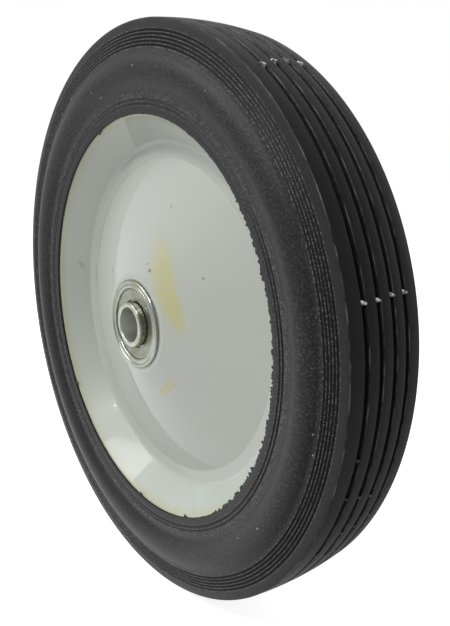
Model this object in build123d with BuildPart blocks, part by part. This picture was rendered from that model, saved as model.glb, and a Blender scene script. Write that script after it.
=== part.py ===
"""A 10 inch flat-free wheel: solid rubber tyre, pressed two-half steel rim, welded hub
tube and a flanged ball bearing at each side of the hub.

The wheel stands upright and turns about Y. The origin is at its centre, and the face
with the best view of the rim looks towards -Y. Every piece that turns or is turned is
drawn as a half section, with X as the radius and Y as the distance along the axle.
"""

from build123d import *
import os

# Tyre
tyre_radius = 127.0          # crown of the tread
tread_drop = 1.0             # how much lower the tread is at its shoulders
tread_half_width = 17.0      # centre plane to the sharp shoulder edge
ring_band_width = 12.2       # shoulder down to the start of the bulging sidewall
ring_band_half_width = 18.1
ring_band_rise = 0.15        # how far the ring band bows out from a straight line
bulge_half_width = 20.4      # where the sidewall stands out furthest
apron_width = 9.6            # bead apron, from the lip to the bulging sidewall
apron_rise = 0.8             # how far the apron's outer edge stands in front of the lip
lip_setback = 0.2            # inner edge of the lip outside the rim's opening
lip_thickness = 0.9
base_height = 3.6            # inner face of the rubber above the foot of the rim's wall
base_gap = 0.03              # rubber to steel

# Tread ribs, and the fine rings moulded on the sidewall
groove_count = 4
groove_pitch = 6.6
groove_width = 2.1
groove_depth = 2.6
ring_groove_count = 5
ring_pitch = 1.36
ring_groove_width = 1.0
ring_groove_depth = 0.6
ring_margin = 2.2            # bulging sidewall to the centre of the first fine groove
bead_groove_count = 2
bead_groove_pitch = 1.8
bead_groove_width = 1.0
bead_groove_depth = 0.55
bead_groove_margin = 3.9     # lip's edge to the centre of the first groove

# Rim halves, pressed from sheet
steel = 1.5
rim_opening_radius = 90.0
rim_half_width = 15.9        # centre plane to the front of the rolled edge
rim_curl = 4.2               # how far the rolled edge reaches outwards
curl_bend = 2.2
wall_run = 10.4              # opening down to the foot of the slanted wall
wall_foot_bend = 3.2
weld_ring_width = 6.8        # flat ring where the two halves are welded together
weld_ring_bend = 3.0         # crease where the cone of the disc starts
hub_seat_half_width = 19.7   # centre plane to the front of the flat ring under the flange
hub_seat_margin = 2.1        # flat ring beyond the flange
hub_seat_bend = 6.0

# Hub tube
hub_tube_wall = 1.6
weld_gap = 0.02              # disc hole to hub tube

# Flanged ball bearings
bore_radius = 7.9375         # five eighths of an inch across
hub_length = 46.8            # over the ends of the two inner races
cup_radius = 17.46           # one and three eighths of an inch across
cup_wall = 1.63              # behind the ball groove
cup_depth = 11.0             # from the back of the flange to the inner end
press_gap = 0.02             # cup to hub tube, and shield to cup
flange_width = 2.74          # flange beyond the cup
flange_height = 1.5
flange_outer_round = 1.1     # the flange is rolled to a low bead
flange_inner_round = 0.8
shield_sink = 1.1            # shield face below the top of the flange
shield_thickness = 0.8
shield_ledge = 1.15          # depth of the seat that the shield lies on
shield_gap = 0.7             # shield to the nose of the inner race
race_nose_wall = 2.36
race_nose_round = 0.9
race_end_inset = 8.6         # inboard end of the inner race below the back of the flange
race_shield_gap = 0.35
ball_radius = 2.38125        # three sixteenths of an inch across
ball_count = 10
ball_inset = 4.3             # ball centres below the back of the flange
ball_clearance = 0.05
land_offset = 1.6            # pitch circle to the lands of both races
groove_conformity = 1.06     # race groove radius over ball radius
cage_wall_gap = 0.4          # cage to the lands on both sides
cage_half_width = 3.3
pocket_gap = 0.12
spacer_wall = 1.6

# Worked out from the sizes above, from the rim outwards and from the axle outwards
shoulder_radius = tyre_radius - tread_drop
ring_band_radius = shoulder_radius - ring_band_width
ring_start_radius = ring_band_radius + ring_margin
wall_foot_radius = rim_opening_radius - wall_run
floor_inner_radius = wall_foot_radius - weld_ring_width
base_radius = wall_foot_radius + base_height
lip_radius = rim_opening_radius + lip_setback
lip_face = rim_half_width + lip_thickness
bead_groove_start = lip_radius + bead_groove_margin
apron_radius = lip_radius + apron_width
apron_half_width = lip_face + apron_rise
bulge_radius = (apron_radius + ring_band_radius) / 2
flange_radius = cup_radius + flange_width
flange_back = hub_seat_half_width
flange_top = flange_back + flange_height
hub_seat_radius = flange_radius + hub_seat_margin
hub_tube_inner = cup_radius + press_gap
hub_tube_outer = hub_tube_inner + hub_tube_wall
pitch_radius = cup_radius - cup_wall - ball_clearance - ball_radius
race_land_radius = pitch_radius - land_offset
cup_land_radius = pitch_radius + land_offset
mouth_radius = cup_land_radius + shield_ledge
race_nose_radius = bore_radius + race_nose_wall
shield_hole_radius = race_nose_radius + shield_gap
ball_plane = flange_back - ball_inset
race_end_plane = flange_back - race_end_inset
race_groove_radius = ball_radius * groove_conformity
shield_face = flange_top - shield_sink
shield_back = shield_face - shield_thickness
nose_end = hub_length / 2

FRONT, BACK = -1, 1
SIDE_NAMES = {FRONT: "front", BACK: "back"}


def at_side(side, points):
    """Turn (radius, distance from the centre plane) into sketch points on one side."""
    return [(radius, side * distance) for radius, distance in points]


def rim_points():
    """Front face of a rim half, from the hub outwards, before its bends are rounded."""
    return [
        (hub_tube_outer + weld_gap, hub_seat_half_width),
        (hub_seat_radius, hub_seat_half_width),
        (floor_inner_radius, steel),
        (wall_foot_radius, steel),
        (rim_opening_radius, rim_half_width),
        (rim_opening_radius + rim_curl, rim_half_width),
    ]


RIM_BENDS = [hub_seat_bend, weld_ring_bend, wall_foot_bend, curl_bend]


def rim_section(side, grow=0.0):
    """Closed outline of a rim half, made thicker all round by grow."""
    with BuildSketch(Plane.XY) as section:
        with BuildLine():
            FilletPolyline(*at_side(side, rim_points()), radius=RIM_BENDS)
            offset(amount=steel, side=Side.RIGHT if side == BACK else Side.LEFT)
        make_face()
        if grow:
            offset(amount=grow, kind=Kind.INTERSECTION)
    return section.sketch


def tyre_section():
    """Half section of the tyre: crowned tread, sidewalls, lips and the base on the rim."""
    wall_lean = (rim_opening_radius - wall_foot_radius) / (rim_half_width - steel)
    base_half_width = steel + (base_radius - wall_foot_radius) / wall_lean - steel / 2
    middle_of_edge = rim_half_width - steel / 2
    with BuildSketch(Plane.XY) as section:
        with BuildLine():
            ThreePointArc(
                (shoulder_radius, -tread_half_width),
                (tyre_radius, 0),
                (shoulder_radius, tread_half_width),
            )
            for side in (FRONT, BACK):
                shoulder, band_middle, band, bulge, apron, lip, edge, foot = at_side(side, [
                    (shoulder_radius, tread_half_width),
                    ring_band_middle(),
                    (ring_band_radius, ring_band_half_width),
                    (bulge_radius, bulge_half_width),
                    (apron_radius, apron_half_width),
                    (lip_radius, lip_face),
                    (lip_radius, middle_of_edge),
                    (base_radius, base_half_width),
                ])
                ThreePointArc(shoulder, band_middle, band)
                ThreePointArc(band, bulge, apron)
                Polyline(apron, lip, edge, foot)
            Line((base_radius, -base_half_width), (base_radius, base_half_width))
        make_face()
        add(tread_grooves(), mode=Mode.SUBTRACT)
        for side in (FRONT, BACK):
            add(sidewall_grooves(side), mode=Mode.SUBTRACT)
            add(rim_section(side, base_gap), mode=Mode.SUBTRACT)
    return section.sketch


def crown_radius_at(distance):
    """Radius of the tread at a distance from the centre plane."""
    return tyre_radius - tread_drop * (distance / tread_half_width) ** 2


def tread_grooves():
    """The grooves between the tread ribs, with round bottoms."""
    with BuildSketch(Plane.XY) as grooves:
        for index in range(groove_count):
            distance = (index - (groove_count - 1) / 2) * groove_pitch
            top = crown_radius_at(distance)
            round_centre = top - groove_depth + groove_width / 2
            with Locations((round_centre, distance)):
                Circle(groove_width / 2)
                Rectangle(2 * groove_depth, groove_width, align=(Align.MIN, Align.CENTER))
    return grooves.sketch


def ring_band_middle():
    """Middle point of the slightly bowed band between the bulge and the shoulder."""
    return (
        (ring_band_radius + shoulder_radius) / 2,
        (ring_band_half_width + tread_half_width) / 2 + ring_band_rise,
    )


def ring_band_arc():
    """Circle of the ring band: its centre and its radius."""
    arc = ThreePointArc(
        (shoulder_radius, tread_half_width),
        ring_band_middle(),
        (ring_band_radius, ring_band_half_width),
    )
    return arc.arc_center, arc.radius


def sidewall_grooves(side):
    """V grooves between the fine rings by the tread, and those beside the bead."""
    centre, arc_radius = ring_band_arc()
    with BuildSketch(Plane.XY) as grooves:
        for index in range(ring_groove_count):
            radius = ring_start_radius + index * ring_pitch
            surface = centre.Y + (arc_radius**2 - (radius - centre.X) ** 2) ** 0.5
            v_groove(side, radius, surface, ring_groove_width, ring_groove_depth)
        for index in range(bead_groove_count):
            radius = bead_groove_start + index * bead_groove_pitch
            surface = lip_face + apron_rise / apron_width * (radius - lip_radius)
            v_groove(side, radius, surface, bead_groove_width, bead_groove_depth)
    return grooves.sketch


def v_groove(side, radius, surface, width, depth):
    """One V groove, drawn into the open sketch, twice as high as it is deep."""
    corners = at_side(side, [
        (radius, surface - depth),
        (radius + width, surface + depth),
        (radius - width, surface + depth),
    ])
    Polygon(*corners, align=None)


def turned(section):
    """Turn a half section about the axle into a solid."""
    with BuildPart() as piece:
        add(section)
        revolve(axis=Axis.Y)
    return piece.part


def outline(side, points):
    """Closed sketch through straight-sided points of a turned piece."""
    with BuildSketch(Plane.XY) as section:
        with BuildLine():
            Polyline(*at_side(side, points), close=True)
        make_face()
    return section.sketch


def finish(part, label):
    """Name a finished piece and write it as its own file."""
    part.label = label
    export_step(part, f"parts/{label}.step")


def make_tyre():
    """Solid rubber tyre in one moulding."""
    finish(turned(tyre_section()), "tyre")


def make_rim_half(side):
    """Pressed half of the rim: rolled edge, wall, weld ring and coned disc."""
    finish(turned(rim_section(side)), f"{SIDE_NAMES[side]}_rim_half")


def make_hub_tube():
    """Plain tube welded through both discs, with a bearing cup pressed in at each end."""
    with BuildPart(Plane.XZ.offset(-flange_back)) as hub_tube:
        Cylinder(hub_tube_outer, 2 * flange_back, align=(Align.CENTER, Align.CENTER, Align.MIN))
        Cylinder(
            hub_tube_inner,
            2 * flange_back,
            align=(Align.CENTER, Align.CENTER, Align.MIN),
            mode=Mode.SUBTRACT,
        )
    finish(hub_tube.part, "hub_tube")


def make_bearing_cup(side):
    """Outer race with its rolled flange, ball groove and the mouth that holds the shield."""
    inner_end = flange_back - cup_depth
    groove_centre = pitch_radius + ball_radius + ball_clearance - race_groove_radius
    with BuildSketch(Plane.XY) as section:
        with BuildLine():
            Polyline(
                *at_side(side, [
                    (cup_land_radius, inner_end),
                    (cup_radius, inner_end),
                    (cup_radius, flange_back),
                    (flange_radius, flange_back),
                    (flange_radius, flange_top),
                    (mouth_radius, flange_top),
                    (mouth_radius, shield_back),
                    (cup_land_radius, shield_back),
                ]),
                close=True,
            )
        make_face()
        rolled = section.vertices().filter_by(lambda v: abs(abs(v.Y) - flange_top) < 1e-6)
        fillet(rolled.sort_by(Axis.X)[-1], radius=flange_outer_round)
        fillet(rolled.sort_by(Axis.X)[0], radius=flange_inner_round)
        with Locations((groove_centre, side * ball_plane)):
            Circle(race_groove_radius, mode=Mode.SUBTRACT)
    finish(turned(section.sketch), f"{SIDE_NAMES[side]}_bearing_cup")


def make_dust_shield(side):
    """Washer pressed into the mouth of the cup, with a gap around the inner race."""
    section = outline(side, [
        (shield_hole_radius, shield_back),
        (mouth_radius - press_gap, shield_back),
        (mouth_radius - press_gap, shield_face),
        (shield_hole_radius, shield_face),
    ])
    finish(turned(section), f"{SIDE_NAMES[side]}_dust_shield")


def make_inner_race(side):
    """Inner race with its ball groove and the long rounded nose that meets the fork."""
    land_top = shield_back - race_shield_gap
    groove_centre = pitch_radius - ball_radius - ball_clearance + race_groove_radius
    with BuildSketch(Plane.XY) as section:
        with BuildLine():
            Polyline(
                *at_side(side, [
                    (bore_radius, race_end_plane),
                    (race_land_radius, race_end_plane),
                    (race_land_radius, land_top),
                    (race_nose_radius, land_top),
                    (race_nose_radius, nose_end),
                    (bore_radius, nose_end),
                ]),
                close=True,
            )
        make_face()
        nose = section.vertices().filter_by(lambda v: abs(abs(v.Y) - nose_end) < 1e-6)
        fillet(nose.sort_by(Axis.X)[-1], radius=race_nose_round)
        with Locations((groove_centre, side * ball_plane)):
            Circle(race_groove_radius, mode=Mode.SUBTRACT)
    finish(turned(section.sketch), f"{SIDE_NAMES[side]}_inner_race")


def ball_centre_plane(side):
    """Plane through the ball centres of one row."""
    return Plane.XZ.offset(-side * ball_plane)


def make_balls(side):
    """One row of balls, evenly spaced by the cage."""
    with BuildPart() as balls:
        with Locations(ball_centre_plane(side)):
            with PolarLocations(pitch_radius, ball_count):
                Sphere(ball_radius)
    finish(balls.part, f"{SIDE_NAMES[side]}_balls")


def make_ball_cage(side):
    """Ring between the lands, with a round pocket for each ball."""
    inner = race_land_radius + cage_wall_gap
    outer = cup_land_radius - cage_wall_gap
    section = outline(side, [
        (inner, ball_plane - cage_half_width),
        (outer, ball_plane - cage_half_width),
        (outer, ball_plane + cage_half_width),
        (inner, ball_plane + cage_half_width),
    ])
    with BuildPart() as cage:
        add(turned(section))
        with Locations(ball_centre_plane(side)):
            with PolarLocations(pitch_radius, ball_count):
                Cylinder(
                    ball_radius + pocket_gap,
                    2 * (outer - inner),
                    rotation=(0, 90, 0),
                    mode=Mode.SUBTRACT,
                )
    finish(cage.part, f"{SIDE_NAMES[side]}_ball_cage")


def make_axle_spacer():
    """Tube that keeps the two inner races apart, with the same bore."""
    section = outline(BACK, [
        (bore_radius, -race_end_plane),
        (bore_radius + spacer_wall, -race_end_plane),
        (bore_radius + spacer_wall, race_end_plane),
        (bore_radius, race_end_plane),
    ])
    finish(turned(section), "axle_spacer")


os.makedirs("parts", exist_ok=True)
make_tyre()
make_hub_tube()
make_axle_spacer()
for side in (FRONT, BACK):
    make_rim_half(side)
    make_bearing_cup(side)
    make_dust_shield(side)
    make_inner_race(side)
    make_balls(side)
    make_ball_cage(side)
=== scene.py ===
"""Looks of a flat-free wheel: ribbed rubber tyre, pale pressed rim and plated bearings.

Sizes are in millimetres until a mesh is finished, and the wheel turns about Y. The
photographed face looks towards -Y. A span holds the value where a smooth step is 0 and
the value where it is 1. A bend holds how far a corner is rounded, and its segments.
"""

import logging
import math
from collections.abc import Iterable
from dataclasses import dataclass, field
from enum import Enum
from typing import Any

import bmesh
import bpy
from mathutils import Matrix, Vector, noise


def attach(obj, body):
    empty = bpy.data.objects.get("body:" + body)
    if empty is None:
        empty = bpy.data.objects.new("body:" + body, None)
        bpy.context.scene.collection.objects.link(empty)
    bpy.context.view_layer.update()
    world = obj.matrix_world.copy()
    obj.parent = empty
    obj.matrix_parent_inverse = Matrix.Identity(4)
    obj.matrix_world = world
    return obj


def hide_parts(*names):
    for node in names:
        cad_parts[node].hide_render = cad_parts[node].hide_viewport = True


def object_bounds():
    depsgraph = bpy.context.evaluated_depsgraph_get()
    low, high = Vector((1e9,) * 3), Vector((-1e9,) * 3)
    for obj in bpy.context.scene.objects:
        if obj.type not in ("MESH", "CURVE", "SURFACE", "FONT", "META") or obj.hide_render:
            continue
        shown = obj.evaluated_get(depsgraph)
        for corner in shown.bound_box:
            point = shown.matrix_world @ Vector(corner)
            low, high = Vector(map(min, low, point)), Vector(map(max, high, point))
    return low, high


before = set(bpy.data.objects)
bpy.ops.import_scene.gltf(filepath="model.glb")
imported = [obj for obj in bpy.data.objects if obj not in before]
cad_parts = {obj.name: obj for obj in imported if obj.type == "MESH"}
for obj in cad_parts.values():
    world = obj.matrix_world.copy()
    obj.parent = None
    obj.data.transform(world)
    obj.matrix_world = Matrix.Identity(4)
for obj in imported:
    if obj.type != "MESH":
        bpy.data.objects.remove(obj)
cad_low, cad_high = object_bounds()

LOG = logging.getLogger("wheel")
MM = 0.001
WHITE = (1.0, 1.0, 1.0, 1.0)
NOISE_MIDDLE = 0.5
Point = tuple[float, float]
Span = tuple[float, float]
Bend = tuple[float, int]
Corner = tuple[float, float, float]
Colour = tuple[float, float, float]


class Side(Enum):
    """The two faces of the wheel, with the sign of their distance along Y."""

    FRONT = -1
    BACK = 1

    @property
    def word(self) -> str:
        """Name of the side, as the nodes use it."""
        return self.name.lower()


class Body(Enum):
    """The bodies that pieces ride on."""

    WHEEL = "wheel"
    AXLE = "axle_sleeve"


class Slot(Enum):
    """Names of the record's material slots, passed with the new pieces."""

    TYRE = "tyre"
    RIM_PAINT = "rim_paint"
    ZINC_STEEL = "zinc_steel"
    SHIELD_STEEL = "shield_steel"


# Shader maths


class Value:
    """A number inside a material, which Python's operators turn into Math nodes."""

    def __init__(self, bench: "Bench", socket: bpy.types.NodeSocket) -> None:
        """Wrap an output socket of a bench's material."""
        self.bench = bench
        self.socket = socket

    def _math(self, operation: str, first: Any, second: Any = None) -> "Value":
        """Add one Math node."""
        values = {0: first} if second is None else {0: first, 1: second}
        return self.bench.value("ShaderNodeMath", {"operation": operation}, values)

    def __add__(self, other: Any) -> "Value":
        """Sum."""
        return self._math("ADD", self, other)

    __radd__ = __add__

    def __sub__(self, other: Any) -> "Value":
        """Difference."""
        return self._math("SUBTRACT", self, other)

    def __rsub__(self, other: Any) -> "Value":
        """Difference with this value taken away."""
        return self._math("SUBTRACT", other, self)

    def __mul__(self, other: Any) -> "Value":
        """Product."""
        return self._math("MULTIPLY", self, other)

    __rmul__ = __mul__

    def __truediv__(self, other: Any) -> "Value":
        """Quotient."""
        return self._math("DIVIDE", self, other)

    def root(self) -> "Value":
        """Square root."""
        return self._math("SQRT", self)

    def wave(self) -> "Value":
        """Sine."""
        return self._math("SINE", self)

    def size(self) -> "Value":
        """Absolute value."""
        return self._math("ABSOLUTE", self)

    def least(self, other: Any) -> "Value":
        """Smaller of two values."""
        return self._math("MINIMUM", self, other)

    def ramp(self, low: float, high: float) -> "Value":
        """Smooth step from 0 at low to 1 at high, or falling where low is the larger.

        Args:
            low: value that gives 0.
            high: value that gives 1.

        Returns:
            The step, between 0 and 1.
        """
        settings = {"interpolation_type": "SMOOTHSTEP", "clamp": True}
        if low <= high:
            return self.bench.value("ShaderNodeMapRange", settings, {0: self, 1: low, 2: high})
        limits = {0: self, 1: high, 2: low, 3: 1.0, 4: 0.0}
        return self.bench.value("ShaderNodeMapRange", settings, limits)


class Bench:
    """A material or world under construction, and the nodes that its finish needs."""

    def __init__(self, name: str, world: bool = False) -> None:
        """Start an empty material or world.

        Args:
            name: its name.
            world: whether it is a world.
        """
        self.made = bpy.data.worlds.new(name) if world else bpy.data.materials.new(name)
        self.made.use_nodes = True
        self.tree = self.made.node_tree
        self.tree.nodes.clear()

    def node(self, kind: str, settings: dict[str, Any], values: dict[Any, Any]) -> bpy.types.Node:
        """Add a node.

        Args:
            kind: type of the node.
            settings: properties, which are set first.
            values: number, colour, socket or Value for each input's name or index.

        Returns:
            The node.
        """
        made = self.tree.nodes.new(kind)
        for key, setting in settings.items():
            setattr(made, key, setting)
        for key, value in values.items():
            source = value.socket if isinstance(value, Value) else value
            if isinstance(source, bpy.types.NodeSocket):
                self.tree.links.new(source, made.inputs[key])
            else:
                made.inputs[key].default_value = source
        return made

    def value(self, kind: str, settings: dict[str, Any], values: dict[Any, Any]) -> Value:
        """Add a node and wrap its first output."""
        return Value(self, self.node(kind, settings, values).outputs[0])

    def rays(self, *names: str) -> Value:
        """Tell kinds of ray apart.

        Args:
            names: outputs of the Light Path node.

        Returns:
            1 for the named kinds of ray and 0 for others.
        """
        outputs = self.node("ShaderNodeLightPath", {}, {}).outputs
        total = Value(self, outputs[names[0]])
        for name in names[1:]:
            total = total + Value(self, outputs[name])
        return total

    def place(self) -> bpy.types.NodeSocket:
        """Object coordinates, in metres."""
        return self.node("ShaderNodeTexCoord", {}, {}).outputs["Object"]

    def axes(self) -> tuple[Value, Value, Value]:
        """Object coordinates in millimetres, one by one."""
        parts = self.node("ShaderNodeSeparateXYZ", {}, {0: self.place()})
        return tuple(Value(self, part) * (1.0 / MM) for part in parts.outputs)

    def cloud(self, scale: float, octaves: float = 2.0) -> Value:
        """Noise between about 0.2 and 0.8.

        Args:
            scale: grains in a metre.
            octaves: how many times finer grains are added.

        Returns:
            The noise.
        """
        values = {"Vector": self.place(), "Scale": scale, "Detail": octaves}
        return self.value("ShaderNodeTexNoise", {}, values)

    def dots(self, scale: float, radius: float, share: float) -> Value:
        """Sparse round dots that fade over the outer half of their radius.

        Args:
            scale: cells in a metre.
            radius: dot radius as a share of a cell.
            share: how many of the cells hold a dot.

        Returns:
            1 in a dot and 0 outside.
        """
        cells = self.node("ShaderNodeTexVoronoi", {}, {"Vector": self.place(), "Scale": scale})
        chance = self.node("ShaderNodeSeparateXYZ", {}, {0: cells.outputs["Color"]})
        limit = 1.0 - share
        hard_edge = 0.001
        held = Value(self, chance.outputs[0]).ramp(limit, limit + hard_edge)
        return Value(self, cells.outputs["Distance"]).ramp(radius, radius / 2) * held

    def blend(self, factor: Any, first: Any, second: Any) -> bpy.types.NodeSocket:
        """Mix two colours.

        Args:
            factor: share of the second colour.
            first: colour or socket.
            second: colour or socket.

        Returns:
            The colour between them.
        """
        colours = [(*c, 1.0) if isinstance(c, tuple) else c for c in (first, second)]
        values = {0: factor, 6: colours[0], 7: colours[1]}
        return self.node("ShaderNodeMix", {"data_type": "RGBA"}, values).outputs[2]

    def bump(self, height: Value, depth_mm: float) -> bpy.types.NodeSocket:
        """Normal that follows a height, where a height of 1 is the full depth."""
        values = {"Strength": 1.0, "Distance": depth_mm * MM, "Height": height}
        return self.node("ShaderNodeBump", {}, values).outputs[0]

    def surface(self, values: dict[str, Any]) -> bpy.types.Material:
        """Close the material with one Principled shader.

        Args:
            values: what its sockets are given.

        Returns:
            The finished material.
        """
        shader = self.node("ShaderNodeBsdfPrincipled", {}, values)
        self.node("ShaderNodeOutputMaterial", {}, {"Surface": shader.outputs[0]})
        return self.made


def on_front(y: Value) -> Value:
    """1 on the photographed half of the wheel and 0 on the other, with a soft edge."""
    return y.ramp(0.0, -0.5)


# Finishes


@dataclass(frozen=True)
class Rubber:
    """Dull black moulded rubber, rubbed pale on its fine rings and edges, where a highlight is painted as
    well.

    Scales are grains in a metre, and the tyre's own sizes tell where its rings and ribs are.
    Bloom is the rubber's grey haze, weak on the tread; on the apron beside the bead a painted sheen is
    added in the same colour.
    """

    tyre: "Tyre"
    colour: Colour = (0.006, 0.006, 0.0063)
    bloom_and_sheen_colour: Colour = (0.09, 0.0895, 0.089)
    rubbed_and_highlight_colour: Colour = (0.2, 0.2, 0.198)
    valley_dirt_and_shade_colour: Colour = (0.003, 0.003, 0.003)
    dust_colour: Colour = (0.5, 0.5, 0.49)
    sheen: float = 0.32
    grain_scale: float = 1300.0
    fine_scale: float = 2600.0
    patch_scale: float = 26.0
    broken_scale: float = 160.0
    side_span: Span = (15.5, 16.5)
    tread_depth: Span = (0.5, 0.2)
    speckle: Span = (0.48, 0.66)
    bloom: float = 0.1
    patch_bloom: float = 0.42
    apron_inner: Span = (95.8, 96.4)
    apron_outer: Span = (101.0, 97.0)
    apron_sheen: float = 0.1
    apron_sheen_speckle: float = 0.6
    shoulder_from: float = -1.0
    shoulder_to: float = 0.6
    shoulder_loss: float = 0.75
    tread_loss: float = 0.8
    band_fade: Span = (0.4, 0.1)
    valley: Span = (0.2, -0.7)
    valley_dirt_and_shade: float = 0.8
    crest: Span = (0.35, 0.95)
    ridge: Span = (0.4, 0.15)
    ridge_share: float = 0.5
    rib_edge: Span = (0.3, 0.05)
    shoulder_edge: Span = (-0.35, -0.1)
    rub: float = 0.04
    rub_and_highlight_grain: Span = (0.46, 0.64)
    rub_and_highlight_grain_share: float = 0.55
    edge_breaks: Span = (0.38, 0.7)
    edge_share: float = 0.5
    dust: float = 0.75
    roughness: float = 0.38
    patch_roughness: float = 0.1
    grain_roughness: float = 0.08
    tread_smoothness: float = 0.02
    fine_height: float = 0.5
    grain_height: float = 0.8
    broken_height: float = 0.4
    bump_depth: float = 0.08

    def bloom_and_apron_sheen(self, radius: Value, side: Value, speckles: Value, patches: Value) -> Value:
        """Find where the rubber has gone grey, and where a sheen is painted on the apron.

        Args:
            radius: distance from the axle.
            side: 1 on the sidewalls.
            speckles: 1 in the grains that bloom.
            patches: slow noise.

        Returns:
            How much of the bloom's colour shows, with the painted sheen.
        """
        apron = radius.ramp(*self.apron_inner) * radius.ramp(*self.apron_outer)
        bloom = speckles * (self.bloom + patches * self.patch_bloom)
        # The apron beside the bead gets a painted sheen, speckled like the bloom.
        bloom = bloom + apron * side * (self.apron_sheen + speckles * self.apron_sheen_speckle)
        last_ring = self.tyre.ring_band_end
        shoulder = radius.ramp(last_ring + self.shoulder_from, last_ring + self.shoulder_to)
        return bloom * (1.0 - shoulder * self.shoulder_loss)

    def rings(self, radius: Value, side: Value) -> tuple[Value, Value]:
        """Find the fine rings of the sidewall.

        Args:
            radius: distance from the axle.
            side: 1 on the sidewalls.

        Returns:
            1 in the rings' valleys, and 1 on their crests but less on the ridges beside the bead.
        """
        tyre = self.tyre
        outer, inner = self.band_fade
        first, last = tyre.ring_band_start, tyre.ring_band_end
        wave = ((radius - first) * (math.tau / tyre.ring_pitch) + math.pi / 2).wave()
        band = radius.ramp(first - outer, first - inner) * radius.ramp(last + outer, last + inner) * side
        ridges = ((radius - tyre.bead_start).size() - tyre.bead_pitch / 2).size().ramp(*self.ridge) * side
        return wave.ramp(*self.valley) * band, wave.ramp(*self.crest) * band + ridges * self.ridge_share

    def tread_edges(self, across: Value, top: Value) -> Value:
        """Find the edges of the tread's ribs and its shoulders.

        Args:
            across: distance from the centre plane.
            top: 1 on the tread's surface.

        Returns:
            1 on the edges.
        """
        tyre = self.tyre
        from_groove = ((across - tyre.groove_pitch).size() - tyre.groove_pitch / 2).size()
        rib_edges = (from_groove - tyre.groove_width / 2).ramp(*self.rib_edge)
        start, end = (tyre.tread_half_width + offset for offset in self.shoulder_edge)
        return (rib_edges + across.ramp(start, end)) * top

    def make(self, name: str) -> bpy.types.Material:
        """Build the material.

        Args:
            name: its name.

        Returns:
            The material.
        """
        bench = Bench(name)
        x, y, z = bench.axes()
        radius = (x * x + z * z).root()
        across = y.size()
        grain = bench.cloud(self.grain_scale)
        fine = bench.cloud(self.fine_scale, octaves=1.0)
        patches = bench.cloud(self.patch_scale, octaves=3.0)
        broken = bench.cloud(self.broken_scale, octaves=3.0)
        side = across.ramp(*self.side_span)
        crown = self.tyre.tread_drop / self.tyre.tread_half_width ** 2
        top = (self.tyre.radius - radius - y * y * crown).ramp(*self.tread_depth)
        bloom = self.bloom_and_apron_sheen(radius, side, grain.ramp(*self.speckle), patches)
        colour = bench.blend(bloom * (1.0 - top * self.tread_loss), self.colour, self.bloom_and_sheen_colour)
        valleys, crests = self.rings(radius, side)
        # Painted shade with some dirt darkens the valleys of the fine rings.
        colour = bench.blend(valleys * self.valley_dirt_and_shade, colour, self.valley_dirt_and_shade_colour)
        # Crests of the fine rings and edges of the ribs are lightened: rubbed wear together with a painted
        # highlight.
        highlit_and_rubbed = crests * (self.rub + grain.ramp(*self.rub_and_highlight_grain) * self.rub_and_highlight_grain_share)
        highlit_and_rubbed = highlit_and_rubbed + self.tread_edges(across, top) * broken.ramp(*self.edge_breaks) * self.edge_share
        colour = bench.blend(highlit_and_rubbed.least(1.0), colour, self.rubbed_and_highlight_colour)
        side_dust = bench.dots(scale=160.0, radius=0.07, share=0.14)
        dust = side_dust * side + bench.dots(scale=80.0, radius=0.04, share=0.14)
        colour = bench.blend(dust.least(1.0) * self.dust, colour, self.dust_colour)
        rough = self.roughness + patches * self.patch_roughness + grain * self.grain_roughness
        rough = rough - top * self.tread_smoothness
        height = grain * self.grain_height + fine * self.fine_height + broken * self.broken_height
        return bench.surface({"Base Color": colour, "Roughness": rough, "Specular IOR Level": self.sheen,
                              "Normal": bench.bump(height, self.bump_depth)})


@dataclass(frozen=True)
class PaintedHighlightRubber:
    """Thin webs of rubber, painted pale in patches as a highlight."""

    colour: Colour = (0.05, 0.05, 0.05)
    highlight_colour: Colour = (0.8, 0.8, 0.78)
    patch_scale: float = 900.0
    highlit: Span = (0.36, 0.55)
    roughness: float = 0.4
    patch_roughness: float = 0.2
    bump_depth: float = 0.15

    def make(self, name: str) -> bpy.types.Material:
        """Build the material.

        Args:
            name: its name.

        Returns:
            The material.
        """
        bench = Bench(name)
        patches = bench.cloud(self.patch_scale)
        # Pale patches painted on the webs stand for a highlight.
        colour = bench.blend(patches.ramp(*self.highlit), self.colour, self.highlight_colour)
        rough = self.roughness + patches * self.patch_roughness
        return bench.surface({"Base Color": colour, "Roughness": rough,
                              "Normal": bench.bump(patches, self.bump_depth)})


@dataclass(frozen=True)
class Spot:
    """A mark on the disc: its centre, half length and half width, and its tilt."""

    x: float
    z: float
    length: float
    width: float
    tilt_deg: float = 0.0
    unevenness: float = 0.9

    def mask(self, bench: Bench, fade: float, jitter: Value | None = None) -> Value:
        """Soft-edged ellipse on the front face.

        Args:
            bench: material to draw in.
            fade: share of the radius over which it fades, inside and outside its edge.
            jitter: noise that makes the outline uneven.

        Returns:
            1 inside the mark and 0 outside.
        """
        x, y, z = bench.axes()
        along = math.cos(math.radians(self.tilt_deg))
        across = math.sin(math.radians(self.tilt_deg))
        u = ((x - self.x) * along + (z - self.z) * across) / self.length
        v = ((z - self.z) * along - (x - self.x) * across) / self.width
        reach = (u * u + v * v).root()
        if jitter is not None:
            reach = reach + (jitter - NOISE_MIDDLE) * self.unevenness
        return reach.ramp(1.0 + fade, 1.0 - fade) * on_front(y)


@dataclass(frozen=True)
class Marks:
    """Marks of one kind: their places, their colour, and how soft and strong they are."""

    spots: tuple[Spot, ...]
    colour: Colour
    fade: float
    strength: float
    uneven: bool = True


STAIN = (0.49, 0.465, 0.2)
# Dark brown for the smudges, and for the crease, where it is painted shade with dirt.
GRIME_AND_SHADE = (0.17, 0.14, 0.09)
DIRT = (0.10, 0.09, 0.07)


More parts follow.
